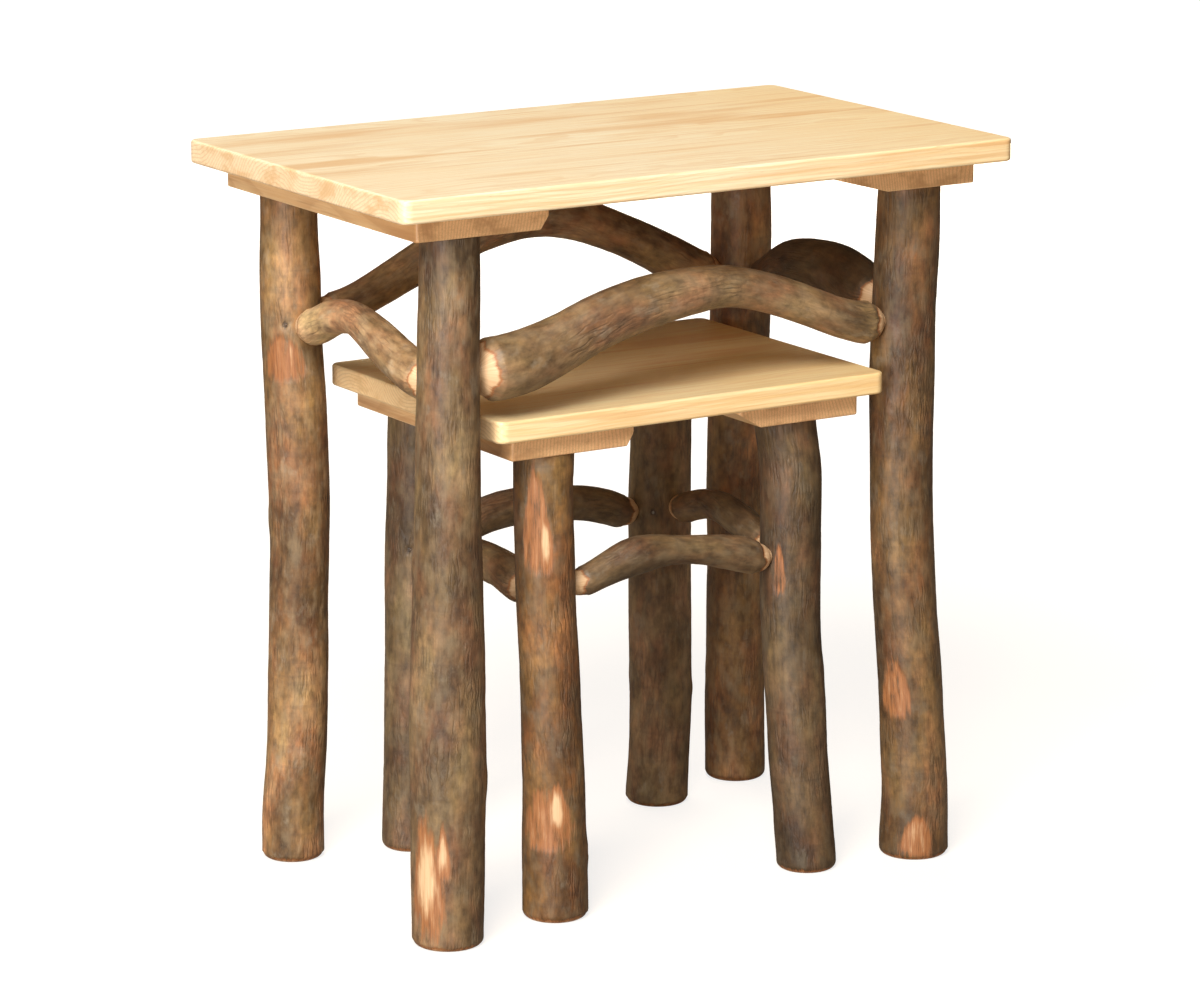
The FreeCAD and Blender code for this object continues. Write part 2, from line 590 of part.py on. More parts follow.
def cleat(table, side):
    """Cross board under the top, bevelled inside, with mortises for two legs and screw holes."""
    width = table.cleat_widths[side]
    bevel = table.cleat_bevels[side]
    outer = table.length / 2 - table.cleat_end_inset
    inner = outer - width
    low = leg_length(table)
    depth = table.width - 2 * table.cleat_edge_inset
    front = table.middle_y - depth / 2
    corner = Vector(inner, front, low)
    board = rounded_slab(width, depth, table.cleat_thickness, corner, CLEAT_CORNER_RADIUS, CLEAT_EDGE_RADIUS)
    wedge = Part.Face(Part.makePolygon([
        corner,
        Vector(inner + bevel, front, low),
        Vector(inner, front, low + CLEAT_BEVEL_DEPTH),
        corner,
    ]))
    board = board.cut(wedge.extrude(Vector(0, depth, 0)))
    if side == "left":
        board = board.mirror(Vector(), Vector(1, 0, 0))
    for name in CORNERS:
        if name.endswith(side):
            head, _ = leg_at(table, name, low)
            radius = table.leg_tenon_radius + TENON_CLEARANCE
            board = board.cut(Part.makeCylinder(radius, table.cleat_thickness, head, UP))
    for place_side, place in screw_places(table):
        if place_side == side:
            board = board.cut(screw(place, SCREW_CLEARANCE))
    return board


def table_nodes(table):
    """All pieces of one table by node name."""
    nodes = {}
    for name, board in top_boards(table).items():
        nodes["top_board_" + name] = board
    for side in ("left", "right"):
        nodes["cleat_" + side] = cleat(table, side)
    for name in CORNERS:
        nodes["leg_" + name] = leg(table, name)
    for side in STRETCHER_LEGS:
        nodes["stretcher_" + side] = stretcher(table, side)
    nodes["cleat_screws"] = Part.makeCompound([screw(place, 0) for _, place in screw_places(table)])
    nodes["tenon_nails"] = Part.makeCompound(
        [nail(table, side, end, 0) for side in STRETCHER_LEGS for end in (0, 1)])
    return {table.name + "_" + name: shape for name, shape in nodes.items()}


os.makedirs("parts", exist_ok=True)
for table in (LARGE, SMALL):
    for node, shape in table_nodes(table).items():
        shape.exportStep("parts/" + node + ".step")
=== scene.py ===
import math

import bpy
import numpy as np
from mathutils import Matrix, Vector, noise
from mathutils.bvhtree import BVHTree


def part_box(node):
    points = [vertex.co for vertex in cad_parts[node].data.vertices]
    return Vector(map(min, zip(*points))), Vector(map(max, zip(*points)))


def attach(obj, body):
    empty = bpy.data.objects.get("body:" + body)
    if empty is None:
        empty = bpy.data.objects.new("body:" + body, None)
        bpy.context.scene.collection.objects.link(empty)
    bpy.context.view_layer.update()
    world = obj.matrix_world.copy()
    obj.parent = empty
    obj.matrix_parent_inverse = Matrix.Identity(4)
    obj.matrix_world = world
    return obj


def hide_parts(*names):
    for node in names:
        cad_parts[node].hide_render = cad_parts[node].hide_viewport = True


# Nest of two rustic tables: logs with their bark on, planed boards and small steel fasteners.
# Everything is in metres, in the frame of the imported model.

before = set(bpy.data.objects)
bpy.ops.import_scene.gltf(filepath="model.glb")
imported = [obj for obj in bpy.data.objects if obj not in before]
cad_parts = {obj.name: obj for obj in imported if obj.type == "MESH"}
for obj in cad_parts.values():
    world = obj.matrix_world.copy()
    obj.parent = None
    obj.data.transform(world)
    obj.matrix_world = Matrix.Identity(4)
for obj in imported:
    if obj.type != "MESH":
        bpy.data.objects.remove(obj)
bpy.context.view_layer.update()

UP = Vector((0, 0, 1))

# Camera
CAMERA_AZIMUTH = math.radians(-32.04)
CAMERA_ELEVATION = math.radians(13.33)
CAMERA_DISTANCE = 4.012
CAMERA_TARGET = Vector((-0.0011, 0.0007, 0.3067))
CAMERA_LENS = 144.9
CAMERA_SENSOR = 36.0
CAMERA_SIGHT = 100.0

# Floor: its size and colour, its glow beside the tables and far away, and the distances from the
# middle between which the glow rises
FLOOR_SIZE = 60
FLOOR_COLOUR = (0.36, 0.31, 0.25)
GLOW_LOW = 0.78
GLOW_FULL = 1.0
GLOW_NEAR = 0.5
GLOW_FAR = 2.2

# Light from all round
AIR_COLOUR = (1, 0.74, 0.48)
AIR_STRENGTH = 0.095
WHITE = (1, 1, 1)
WHITE_STRENGTH = 1.0

# Lamps: place, target, size, power, colour and whether glossy surfaces show it
LAMPS = {
    "key": ((-3.25, -3.2, 4.45), (0, 0, 0.4), 2.6, 485.0, (1.0, 0.97, 0.92), True),
    "front": ((-3.0, -2.1, 0.62), (0, 0, 0.3), 1.1, 76.0, (1.0, 0.97, 0.93), True),
    "back": ((2.2, 3.1, 0.4), (0, 0, 0.3), 1.0, 60.0, (1.0, 0.95, 0.88), False),
    "overhead": ((0.2, 0.8, 3.2), (0, 0, 0.6), 0.8, 30.0, (1.0, 0.98, 0.95), True),
}

# Mesh of a log: distance between rings, points around a ring, heights of the rings on the round
# of a foot, and the rings across a sawn end as shares of its radius
RING_STEP = 0.002
LEG_AROUND = 96
STRETCHER_AROUND = 72
FOOT_ROUND = 0.005
FOOT_HEIGHTS = (0.0, 0.0004, 0.001, 0.002, 0.0033)
CUT_RINGS = (0.85, 0.6, 0.3)

# Measuring of a round section on a log's solid
RAY_COUNT = 24
RAY_REACH = 0.06
FIT_TURNS = 3
FIT_ERROR = 0.001
FIT_SPREAD = 2

# Measuring of the line along a log
LINE_TURNS = 2
SMOOTH_WIDTH = 7
END_MARGIN = 0.002
TIP_REACH = 0.0005
JOINT_LENGTH = 0.026
TURN_LENGTH = 0.014
TENON_RINGS = 3
TENON_GROWTH = 1.08

# Relief of the bark: depths, and how often lumps and ridges come around and along a log
LUMP_DEPTH = 0.0011
LUMP_AROUND = 32
LUMP_ALONG = 17
RIDGE_DEPTH = 0.0005
RIDGE_AROUND = 210
RIDGE_ALONG = 38
RIDGE_FRACTAL = (1.0, 2.0, 3)

# Relief of peeled places
PEEL_DEPTH = 0.0006
PEEL_EDGE = 6
PEEL_CALM = 0.8
PEEL_SLOPE = 1.3
PEEL_SLANT = 0.45

# Relief of knots: height, shape along the grain, reach of the mark, swelling and its dip
KNOT_HEIGHT = 0.0016
KNOT_LENGTHEN = 0.7
KNOT_REACH = 1.5
KNOT_SPREAD = 2.2
KNOT_DIP = 0.75
KNOT_DIP_SPREAD = 0.18

# Peeled shoulders of a stretcher: length, ragged edge, and its waves around the log
SHOULDER_LENGTH = 0.0085
SHOULDER_EDGE = 0.004
SHOULDER_WAVES = ((3, 1, 0.35), (7, 2, 0.25))

# Worn rim of a foot
RIM_HEIGHT = 0.8
RIM_LUMPS = 0.18
RIM_BARE = 0.5

# Holes over the heads of nails: depth, and the distances from the nail between which it fades
NAIL_DEPTH = 0.0015
NAIL_NEAR = 0.0017
NAIL_FAR = 0.0023

# Seeded knots: how many, place as a share of the log's length, and size
LEG_KNOTS = (2, 5)
STRETCHER_KNOTS = (1, 3)
KNOT_PLACE = (0.12, 0.88)
KNOT_SIZE = (0.004, 0.0065)

# Seeded small bare places on the far sides of the legs: how many, compass angle, half width,
# place as a share of the leg's length, length over width, and how bare the wood is
BARE_COUNT = (0, 3)
BARE_ANGLE = (-20, 130)
BARE_SIZE = (0.003, 0.007)
BARE_PLACE = (0.08, 0.8)
BARE_LENGTHEN = (1.5, 3.5)
BARE_DEPTH = (0.2, 0.45)

# Peeled places on the legs: compass angle in degrees from +X towards +Y, height, half width,
# half height and how bare the wood is
PEELED = {
    "large_leg_front_left": ((203, 0.060, 0.014, 0.050, 1.0), (232, 0.084, 0.005, 0.026, 0.9)),
    "large_leg_back_left": ((222, 0.434, 0.017, 0.020, 0.30),),
    "large_leg_front_right": (
        (205, 0.149, 0.012, 0.026, 0.30),
        (200, 0.152, 0.006, 0.014, 0.48),
        (240, 0.021, 0.013, 0.019, 0.36),
    ),
    "small_leg_front_left": (
        (222, 0.330, 0.010, 0.044, 0.30),
        (241, 0.313, 0.006, 0.026, 0.85),
        (226, 0.088, 0.019, 0.028, 0.26),
        (243, 0.095, 0.008, 0.021, 0.80),
    ),
    "small_leg_front_right": ((214, 0.258, 0.005, 0.022, 0.26),),
}

# Bark of each log: brightness, which is partly the bark's own tone and partly painted shade on logs that lie
# in shadow, and warmth from grey to orange brown
BARK = {
    "large_leg_front_left": (0.54, 0.50),
    "large_leg_front_right": (0.37, 1.10),
    "large_leg_back_left": (0.73, 0.90),
    "large_leg_back_right": (0.78, 1.00),
    "large_stretcher_front": (0.66, 0.45),
    "large_stretcher_back": (0.76, 0.50),
    "large_stretcher_left": (1.30, 0.30),
    "large_stretcher_right": (0.28, 0.60),
    "small_leg_front_left": (0.41, 1.45),
    "small_leg_front_right": (0.26, 0.70),
    "small_leg_back_left": (0.43, 0.35),
    "small_leg_back_right": (0.64, 0.45),
    "small_stretcher_front": (0.50, 0.45),
    "small_stretcher_back": (0.55, 0.40),
    "small_stretcher_left": (0.65, 0.45),
    "small_stretcher_right": (0.55, 0.45),
}
BARK_SHIFT = (3.7, 1.9, 5.3)

# Value in the middle of a noise pattern
NOISE_MIDDLE = 0.5

# Patterns of the bark: scale across the log both ways and along it, detail and roughness
BARK_PATTERNS = {
    "patches": ((24, 24, 11), 4, 0.50),
    "hue": ((38, 38, 17), 4, 0.50),
    "dapple": ((150, 150, 80), 5, 0.60),
    "mottle": ((110, 110, 52), 4, 0.55),
    "bloom": ((70, 70, 44), 5, 0.60),
    "cracked": ((45, 45, 20), 3, 0.55),
    "rings": ((16, 16, 170), 4, 0.50),
    "threads": ((520, 520, 34), 3, 0.55),
    "knots": ((230, 230, 120), 4, 0.55),
    "flames": ((110, 110, 22), 4, 0.55),
    "shreds": ((360, 360, 42), 4, 0.60),
    "wood": ((800, 800, 20), 3, 0.55),
}

# Colours of the bark: tones from dark to light, and a tinge from greenish to reddish
BARK_TONES = (
    (0.33, (0.120, 0.073, 0.036)),
    (0.45, (0.215, 0.138, 0.070)),
    (0.54, (0.300, 0.202, 0.105)),
    (0.66, (0.440, 0.318, 0.180)),
)
BARK_TINGE = (
    (0.36, (0.94, 1.02, 0.94)),
    (0.50, (1.00, 1.00, 1.00)),
    (0.64, (1.10, 0.93, 0.96)),
)
COOL_TINT = (1.0, 0.98, 0.98)
WARM_TINT = (1.22, 0.93, 0.66)
DAPPLE_RANGE = (0.30, 0.70, 0.50, 1.50)

# Layers of the bark: pattern, the values where the layer starts and is full, share and colour
BARK_LIGHT_LAYERS = (
    ("mottle", 0.42, 0.70, 0.42, (0.46, 0.335, 0.190)),
    ("bloom", 0.56, 0.70, 0.38, (0.46, 0.375, 0.265)),
)
BARK_DARK_LAYERS = (
    ("rings", 0.54, 0.66, 0.16, (0.12, 0.074, 0.052)),
    ("threads", 0.52, 0.72, 0.20, (0.12, 0.078, 0.048)),
)

# Fissures: cells pulled crooked, the width of their edges, where the bark has them, and the share and colour
# of the painted shade that darkens them
PULL_SCALE = (120, 120, 60)
PULL_DETAIL = 3.0
PULL_REACH = 0.006
CELL_SCALE = (260, 260, 34)
CRACK_WIDTH = 0.22
CRACKED_BAND = (0.42, 0.66)
FISSURE_SHADE_SHARE = 0.34
FISSURE_SHADE_COLOUR = (0.085, 0.053, 0.033)

# Colours of knots and of holes over nails: start, full, share and colour
KNOT_LAYER = (0.15, 0.90, 0.42, (0.120, 0.068, 0.038))
HOLE_LAYER = (0.2, 0.9, 0.75, (0.055, 0.034, 0.022))

# Peeled wood: ragged edge, orange inner bark at the rim and pale wood in the middle
FLAME_REACH = 1.1
SHRED_REACH = 1.3
DEEP_RAGGED = 0.85
DEEP_BAND = (0.30, 0.92)
BARE_BAND = (-0.14, 0.36)
BARE_SHARE = 0.90
INNER_BAND = (0.35, 0.7)
INNER_COLOURS = ((0.38, 0.150, 0.050), (0.28, 0.102, 0.034))
PALE_BAND = (0.3, 0.75)
PALE_COLOURS = ((0.78, 0.53, 0.31), (0.62, 0.38, 0.20))

# Fine relief of the bark: share of each pattern
CRACK_RELIEF = -0.6
BARK_RELIEF = {"mottle": 0.9, "threads": 0.40, "rings": 0.40}
WOOD_RELIEF = 0.16

# Sawn ends of logs: year rings, their wobble, and dust
CUT_PATTERNS = {
    "wobble": ((60, 60, 60), 3, 0.55),
    "dust": ((500, 500, 500), 5, 0.55),
}
CUT_YEARS = 2400.0
CUT_WOBBLE = 5.0
CUT_BAND = (-0.6, 1.0)
CUT_COLOURS = ((0.62, 0.42, 0.24), (0.40, 0.24, 0.12))
DUST_LAYER = (0.45, 0.7, 0.4, (0.22, 0.14, 0.08))

# Boards of the tops: the pith of the year rings across and up, and how rare the streaks are
TOPS = {
    "large_top_board_front": ((-0.150, 0.560), 0.58),
    "large_top_board_mid_front": ((-0.020, 0.640), 0.53),
    "large_top_board_mid_back": ((0.020, 0.550), 0.50),
    "large_top_board_back": ((0.160, 0.650), 0.55),
    "small_top_board_front": ((-0.120, 0.380), 0.60),
    "small_top_board_middle": ((0.000, 0.460), 0.55),
    "small_top_board_back": ((0.090, 0.370), 0.54),
}
TOP_TURN = 0
TOP_SEED = 1
LARGE_TOP_COLOURS = ((0.94, 0.830, 0.600), (0.90, 0.700, 0.430), (0.76, 0.450, 0.200))
# Small top: the large top's wood painted darker and more golden, as shade from the large top above it
SMALL_TOP_SHADED_COLOURS = ((0.93, 0.760, 0.460), (0.88, 0.640, 0.320), (0.76, 0.450, 0.200))

# Cleats: turned grain, pith below the cleat, streaks and colours
CLEATS = ("large_cleat_left", "large_cleat_right", "small_cleat_left", "small_cleat_right")
CLEAT_TURN = 90
CLEAT_SEED = 11
CLEAT_PITH_DEPTH = 0.02
CLEAT_STREAKS = 0.52
CLEAT_COLOURS = ((0.86, 0.600, 0.330), (0.80, 0.510, 0.255), (0.52, 0.265, 0.115))

# Patterns of the boards: scale along the board, across it and up, detail and roughness
BOARD_PATTERNS = {
    "drift": ((2.2, 7, 7), 2, 0.55),
    "sway": ((5, 14, 14), 3, 0.55),
    "pores": ((90, 1500, 1500), 3, 0.70),
    "fibres": ((14, 420, 420), 4, 0.60),
    "heart": ((3.0, 26, 26), 4, 0.50),
    "thin": ((3.5, 120, 120), 4, 0.55),
    "blotch": ((9, 16, 16), 4, 0.55),
    "specks": ((300, 900, 900), 4, 0.70),
    "knots": ((20, 34, 60), 4, 0.60),
    "edge": ((5, 40, 260), 4, 0.60),
}
BOARD_SHIFT = (2.3, 4.1, 1.7)

# Year rings of the boards: how far they wander, rings per metre, and the dark late wood
DRIFT_REACH = 0.050
SWAY_REACH = 0.022
YEARS = 330.0
LATE_START = (0.45, 0.92)
LATE_END = (0.93, 1.0)
LATE_FACE = 0.30
LATE_CUT = 0.36

# Faces of the boards: where a pattern starts and is full, and its share
FIBRE_BAND = (0.3, 0.7)
HEART_SPREAD = (-0.02, 0.15)
HEART_SHARE = 0.70
THREAD_LAYER = (0.59, 0.69, 0.66)
BLOTCH_LAYER = (0.45, 0.75, 0.25)
PORE_LAYER = (0.62, 0.74, 0.35)
SHADE_OF_STREAK = 0.45

# Colour turns warmer and darker towards the right end of a top
WARM_REACH = (-0.05, 0.30)
WARM_END = (1.0, 0.92, 0.78)

# Ends and edges of the boards: how squarely a face looks along or across, and the layers there
SQUARE_BAND = (0.55, 0.9)
SAWN_TINT = (0.93, 0.80, 0.74)
SPECK_BAND = (0.45, 0.75)
END_KNOT_LAYER = (0.48, 0.66, 0.85)
RUDDY_OF_STREAK = 0.80
SAWN_SHARE = 0.75
EDGE_BAND = (0.46, 0.62)
EDGE_SHARE = 0.50

# Fine relief of the boards: share of each pattern
PORE_RELIEF = -0.8
LATE_RELIEF = -0.35
FIBRE_RELIEF = 0.5

# Steel: scratches and stains
STEEL_PATTERNS = {
    "scratches": ((900, 2600, 900), 5, 0.55),
    "stains": ((240, 240, 240), 4, 0.55),
}
STAIN_BAND = (0.4, 0.7)
STEEL_COLOURS = ((0.60, 0.60, 0.62), (0.38, 0.37, 0.36))

# Fine relief of each surface: distance and strength
BARK_BUMP = (0.0008, 0.8)
CUT_BUMP = (0.0002, 0.5)
BOARD_BUMP = (0.00022, 0.55)
STEEL_BUMP = (0.0001, 0.4)

# Roughness of each surface: lowest and highest
BARK_ROUGHNESS = (0.46, 0.74)
CUT_ROUGHNESS = (0.65, 0.9)
BOARD_ROUGHNESS = (0.36, 0.52)
STEEL_ROUGHNESS = (0.25, 0.5)

# Clear coat on wood and bark: weight and roughness
BARK_COAT = (0.12, 0.32)
BOARD_COAT = (0.18, 0.22)


def add(tree, kind, inputs=None, **settings):
    """New node with its settings, its constant inputs and its links."""
    made = tree.nodes.new(kind)
    for key, value in settings.items():
        setattr(made, key, value)
    for key, value in (inputs or {}).items():
        if isinstance(value, bpy.types.NodeSocket):
            tree.links.new(value, made.inputs[key])
        else:
            made.inputs[key].default_value = value
    return made


def maths(tree, operation, a, b=0.0):
    """Result of a sum on two numbers or sockets."""
    return add(tree, "ShaderNodeMath", {0: a, 1: b}, operation=operation).outputs[0]


def times(tree, a, b):
    """Product of two numbers or sockets."""
    return maths(tree, "MULTIPLY", a, b)


def plus(tree, a, b):
    """Sum of two numbers or sockets."""
    return maths(tree, "ADD", a, b)


def minus(tree, a, b):
    """Difference of two numbers or sockets."""
    return maths(tree, "SUBTRACT", a, b)


def vector_maths(tree, operation, inputs):
    """Result of a sum on vectors."""
    return add(tree, "ShaderNodeVectorMath", inputs, operation=operation).outputs[0]


def centred(tree, pattern):
    """Noise moved so that its middle is 0."""
    return minus(tree, pattern, NOISE_MIDDLE)


def band(tree, value, low, high):
    """Goes smoothly from 0 at low to 1 at high."""
    made = add(tree, "ShaderNodeMapRange", {"Value": value, "From Min": low, "From Max": high},
               interpolation_type="SMOOTHSTEP")
    return made.outputs["Result"]


def mixed(tree, share, a, b, blend="MIX"):
    """Colour mix of two colours or sockets."""
    made = add(tree, "ShaderNodeMix", data_type="RGBA", blend_type=blend, clamp_factor=True)
    for socket, value in ((made.inputs[0], share), (made.inputs[6], a), (made.inputs[7], b)):
        if isinstance(value, bpy.types.NodeSocket):
            tree.links.new(value, socket)
        elif isinstance(value, tuple):
            socket.default_value = (*value, 1)
        else:
            socket.default_value = value
    return made.outputs[2]


def tinted(tree, colour, tint):
    """Colour multiplied by another."""
    return mixed(tree, 1.0, colour, tint, "MULTIPLY")


def laid(tree, colour, pattern, low, high, share, tone):
    """Colour with another laid over it where a pattern is strong."""
    return mixed(tree, times(tree, band(tree, pattern, low, high), share), colour, tone)


def ramp(tree, value, stops):
    """Colours at given positions."""
    made = add(tree, "ShaderNodeValToRGB", {"Fac": value})
    elements = made.color_ramp.elements
    while len(elements) < len(stops):
        elements.new(0.5)
    for element, (position, colour) in zip(elements, stops):
        element.position = position
        element.color = (*colour, 1)
    return made.outputs["Color"]


def stretched(tree, vector, scale, offset):
    """Coordinates scaled by a different number each way."""
    made = add(tree, "ShaderNodeMapping", {"Vector": vector, "Scale": scale, "Location": offset})
    return made.outputs["Vector"]


def noises(tree, vector, rows, offset=(0, 0, 0)):
    """Noise patterns by name, over stretched coordinates."""
    made = {}
    for name, (scale, detail, roughness) in rows.items():
        made[name] = add(tree, "ShaderNodeTexNoise", {
            "Vector": stretched(tree, vector, scale, offset),
            "Scale": 1.0,
            "Detail": detail,
            "Roughness": roughness,
        }).outputs["Fac"]
    return made


def new_material(name):
    """Empty node material: its tree, its shader and the material."""
    material = bpy.data.materials.new(name)
    material.use_nodes = True
    tree = material.node_tree
    tree.nodes.clear()
    shader = add(tree, "ShaderNodeBsdfPrincipled")
    output = add(tree, "ShaderNodeOutputMaterial")
    tree.links.new(shader.outputs["BSDF"], output.inputs["Surface"])
    return material, tree, shader


def surfaced(tree, shader, colour, height, bump, pattern, roughness):
    """Gives a shader its colour, its fine relief, and a roughness that follows a pattern."""
    distance, strength = bump
    low, high = roughness
    relief = add(tree, "ShaderNodeBump", {"Height": height, "Distance": distance, "Strength": strength})
    gloss = add(tree, "ShaderNodeMapRange", {"Value": pattern, "To Min": low, "To Max": high})
    tree.links.new(colour, shader.inputs["Base Color"])
    tree.links.new(relief.outputs["Normal"], shader.inputs["Normal"])
    tree.links.new(gloss.outputs["Result"], shader.inputs["Roughness"])


def coated(shader, coat):
    """Gives a shader a clear coat."""
    weight, roughness = coat
    shader.inputs["Coat Weight"].default_value = weight
    shader.inputs["Coat Roughness"].default_value = roughness


def attribute(tree, name, output):
    """Values that a mesh carries at its points."""
    return add(tree, "ShaderNodeAttribute", attribute_name=name).outputs[output]


def fissures(tree, grain, offset, cracked):
    """Strength of the fissures: edges of long crooked cells, where the bark is cracked."""
    drift = add(tree, "ShaderNodeTexNoise", {
        "Vector": stretched(tree, grain, PULL_SCALE, offset), "Scale": 1.0, "Detail": PULL_DETAIL})
    push = vector_maths(tree, "SUBTRACT", {0: drift.outputs["Color"], 1: (NOISE_MIDDLE,) * 3})
    push = vector_maths(tree, "SCALE", {0: push, "Scale": PULL_REACH})
    pulled = vector_maths(tree, "ADD", {0: grain, 1: push})
    cells = add(tree, "ShaderNodeTexVoronoi", {
        "Vector": stretched(tree, pulled, CELL_SCALE, offset), "Scale": 1.0}, feature="DISTANCE_TO_EDGE")
    edge = minus(tree, 1.0, band(tree, cells.outputs["Distance"], 0.0, CRACK_WIDTH))
    return times(tree, edge, band(tree, cracked, *CRACKED_BAND))


def peeled_wood(tree, bareness, pattern):
    """Where the wood is bare, and its colour."""
    ragged = plus(tree, times(tree, centred(tree, pattern["flames"]), FLAME_REACH),
                  times(tree, centred(tree, pattern["shreds"]), SHRED_REACH))
    inner = mixed(tree, band(tree, pattern["wood"], *INNER_BAND), *INNER_COLOURS)
    pale = mixed(tree, band(tree, pattern["wood"], *PALE_BAND), *PALE_COLOURS)
    deep = plus(tree, bareness, times(tree, ragged, DEEP_RAGGED))
    wood = mixed(tree, band(tree, deep, *DEEP_BAND), inner, pale)
    bare = band(tree, plus(tree, bareness, ragged), *BARE_BAND)
    return times(tree, bare, BARE_SHARE), wood


def warm_tint(warmth):
    """Colour that turns grey bark towards orange brown."""
    return tuple(a + (b - a) * warmth for a, b in zip(COOL_TINT, WARM_TINT))


def bark_material(name, tone_and_painted_shade, warmth, seed):
    """Hickory bark with fissures, cross lines, grey bloom, knots and peeled places; painted shade darkens
    its fissures, and its brightness is partly painted shade.
    """
    material, tree, shader = new_material(name)
    grain = attribute(tree, "grain", "Vector")
    split = add(tree, "ShaderNodeSeparateXYZ", {"Vector": attribute(tree, "marks", "Vector")})
    bareness, knottiness, hole = split.outputs
    offset = tuple(seed * step for step in BARK_SHIFT)
    pattern = noises(tree, grain, BARK_PATTERNS, offset)
    crack = fissures(tree, grain, offset, pattern["cracked"])
    low, high, dim, bright = DAPPLE_RANGE
    dapple = add(tree, "ShaderNodeMapRange", {
        "Value": pattern["dapple"], "From Min": low, "From Max": high, "To Min": dim, "To Max": bright})

    colour = tinted(tree, ramp(tree, pattern["patches"], BARK_TONES), ramp(tree, pattern["hue"], BARK_TINGE))
    colour = tinted(tree, colour, warm_tint(warmth))
    colour = tinted(tree, colour, dapple.outputs["Result"])
    for title, *layer in BARK_LIGHT_LAYERS:
        colour = laid(tree, colour, pattern[title], *layer)
    # Painted shade in the fissures of the bark
    colour = mixed(tree, times(tree, crack, FISSURE_SHADE_SHARE), colour, FISSURE_SHADE_COLOUR)
    for title, *layer in BARK_DARK_LAYERS:
        colour = laid(tree, colour, pattern[title], *layer)
    # Brightness of the log: partly its own tone, partly painted shade
    colour = tinted(tree, colour, (tone_and_painted_shade, tone_and_painted_shade, tone_and_painted_shade))
    knot = plus(tree, knottiness, centred(tree, pattern["knots"]))
    colour = laid(tree, colour, knot, *KNOT_LAYER)
    bare, wood = peeled_wood(tree, bareness, pattern)
    colour = mixed(tree, bare, colour, wood)
    colour = laid(tree, colour, hole, *HOLE_LAYER)

    height = times(tree, crack, CRACK_RELIEF)
    for title, share in BARK_RELIEF.items():
        height = plus(tree, height, times(tree, pattern[title], share))
    smooth_wood = times(tree, pattern["wood"], WOOD_RELIEF)
    height = add(tree, "ShaderNodeMix", {0: bare, 2: height, 3: smooth_wood}, data_type="FLOAT")
    surfaced(tree, shader, colour, height.outputs[0], BARK_BUMP, pattern["mottle"], BARK_ROUGHNESS)
    coated(shader, BARK_COAT)
    return material


def cut_material():
    """Sawn end of a log, with year rings round the pith and dust."""
    material, tree, shader = new_material("log_cut")
    pattern = noises(tree, attribute(tree, "grain", "Vector"), CUT_PATTERNS)
    years = times(tree, attribute(tree, "cut", "Fac"), CUT_YEARS)
    wave = maths(tree, "SINE", plus(tree, years, times(tree, pattern["wobble"], CUT_WOBBLE)))
    colour = mixed(tree, band(tree, wave, *CUT_BAND), *CUT_COLOURS)
    colour = laid(tree, colour, pattern["dust"], *DUST_LAYER)
    surfaced(tree, shader, colour, wave, CUT_BUMP, pattern["dust"], CUT_ROUGHNESS)
    return material


def late_wood(tree, place, pith, pattern):
    """Dark part of each year ring about a board's pith."""
    squares = []
    for axis, middle, wander in (
        ("Y", pith[0], times(tree, centred(tree, pattern["drift"]), DRIFT_REACH)),
        ("Z", pith[1], times(tree, centred(tree, pattern["sway"]), SWAY_REACH)),
    ):
        away = plus(tree, minus(tree, place.outputs[axis], middle), wander)
        squares.append(times(tree, away, away))
    radius = maths(tree, "SQRT", plus(tree, *squares))
    year = maths(tree, "FRACT", times(tree, radius, YEARS))
    return times(tree, band(tree, year, *LATE_START), minus(tree, 1.0, band(tree, year, *LATE_END)))


